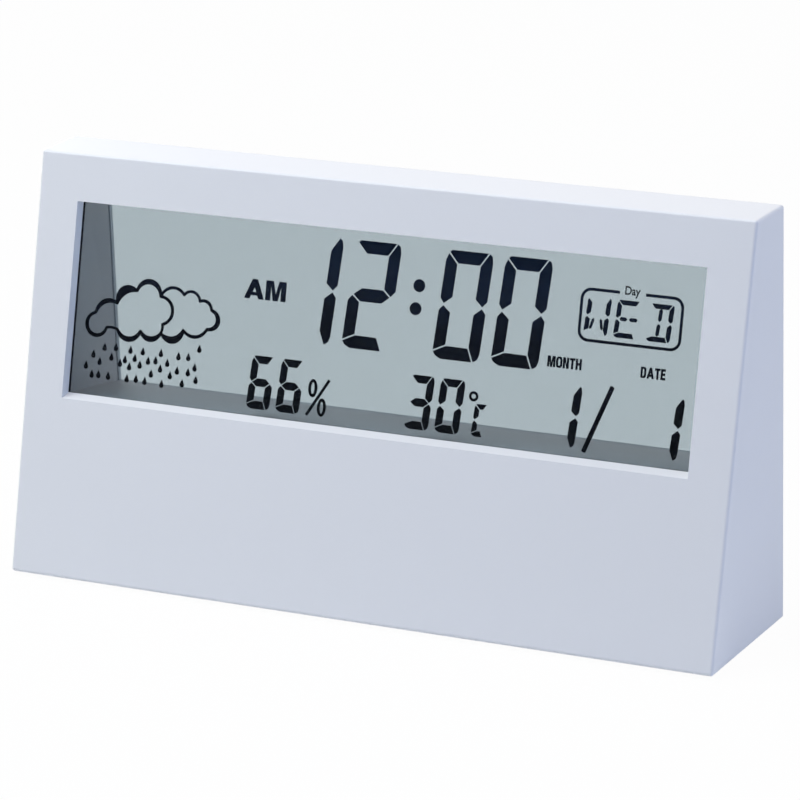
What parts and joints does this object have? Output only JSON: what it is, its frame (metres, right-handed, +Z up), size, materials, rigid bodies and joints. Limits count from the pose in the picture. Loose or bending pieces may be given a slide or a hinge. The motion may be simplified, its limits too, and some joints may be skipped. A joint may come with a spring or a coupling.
{
  "type": "digital desk clock",
  "caption": "See-through digital desk clock: leaning white case, window display with a light well behind it, rear buttons and a snap battery door.",
  "frame": {"origin": "on the surface under the middle of the clock's bounding box", "axes": "+X to the right seen from the front, the display faces -Y, +Z up"},
  "size_m": [0.143, 0.0335, 0.0776],
  "materials": {
    "case_white": "fine satin moulded ABS, crisp edges",
    "clear": "clear, smooth",
    "film": "grey-green polarising film",
    "black_foam": "matt closed-cell foam",
    "ribbon": "amber film with printed tracks",
    "board": "green solder mask",
    "black_gloss": "near-black, smooth",
    "steel": "nickel plated",
    "brass": "plain sheet",
    "sensor_blue": "moulded cage",
    "cell_wrap": "plain printed sleeve",
    "wire_red": "PVC insulation",
    "wire_black": "PVC insulation",
    "rubber": "matt"
  },
  "bodies": {
    "case": {"front_housing": "case_white", "rear_cover": "case_white", "display_frame": "case_white", "front_lens": "clear", "display_gasket": "black_foam", "front_polariser": "film", "lcd_front_glass": "clear", "lcd_rear_glass": "clear", "rear_polariser": "film", "rear_window": "clear", "lcd_ribbon": "ribbon", "main_board": "board", "chip_blob": "black_gloss", "crystal": "steel", "capacitor": "black_gloss", "humidity_sensor": "sensor_blue", "temperature_sensor": "black_gloss", "buzzer": "brass", "switch_1": "black_gloss", "switch_2": "black_gloss", "switch_3": "black_gloss", "switch_4": "black_gloss", "switch_5": "black_gloss", "battery_1": "cell_wrap", "battery_2": "cell_wrap", "contact_positive": "steel", "contact_negative": "steel", "contact_link": "steel", "battery_wire_1": "wire_red", "battery_wire_2": "wire_black", "buzzer_wire_1": "wire_red", "buzzer_wire_2": "wire_black", "cover_screw_1": "steel", "cover_screw_2": "steel", "cover_screw_3": "steel", "cover_screw_4": "steel", "board_screw_1": "steel", "board_screw_2": "steel", "board_screw_3": "steel", "foot_1": "rubber", "foot_2": "rubber", "foot_3": "rubber", "foot_4": "rubber"},
    "battery_door": {"battery_door": "case_white"},
    "button_1": {"button_1": "case_white", "plunger_1": "black_gloss"},
    "button_2": {"button_2": "case_white", "plunger_2": "black_gloss"},
    "button_3": {"button_3": "case_white", "plunger_3": "black_gloss"},
    "button_4": {"button_4": "case_white", "plunger_4": "black_gloss"},
    "button_5": {"button_5": "case_white", "plunger_5": "black_gloss"}
  },
  "joints": [
    {"name": "battery_door_tilt", "type": "hinge", "parent": "case", "child": "battery_door", "pos_m": [0.03625, 0.01611, 0.0039], "axis": [-1, 0, 0], "range_deg": [0, 75]},
    {"name": "mode_press", "type": "slide", "parent": "case", "child": "button_1", "axis": [0, -0.9998, -0.0175], "range_m": [0, 0.0005], "stiffness_N_per_m": 600, "springref_m": -0.0004},
    {"name": "set_press", "type": "slide", "parent": "case", "child": "button_2", "axis": [0, -0.9998, -0.0175], "range_m": [0, 0.0005], "stiffness_N_per_m": 600, "springref_m": -0.0004},
    {"name": "up_press", "type": "slide", "parent": "case", "child": "button_3", "axis": [0, -0.9998, -0.0175], "range_m": [0, 0.0005], "stiffness_N_per_m": 600, "springref_m": -0.0004},
    {"name": "down_press", "type": "slide", "parent": "case", "child": "button_4", "axis": [0, -0.9998, -0.0175], "range_m": [0, 0.0005], "stiffness_N_per_m": 600, "springref_m": -0.0004},
    {"name": "alarm_press", "type": "slide", "parent": "case", "child": "button_5", "axis": [0, -0.9998, -0.0175], "range_m": [0, 0.0005], "stiffness_N_per_m": 600, "springref_m": -0.0004}
  ]
}
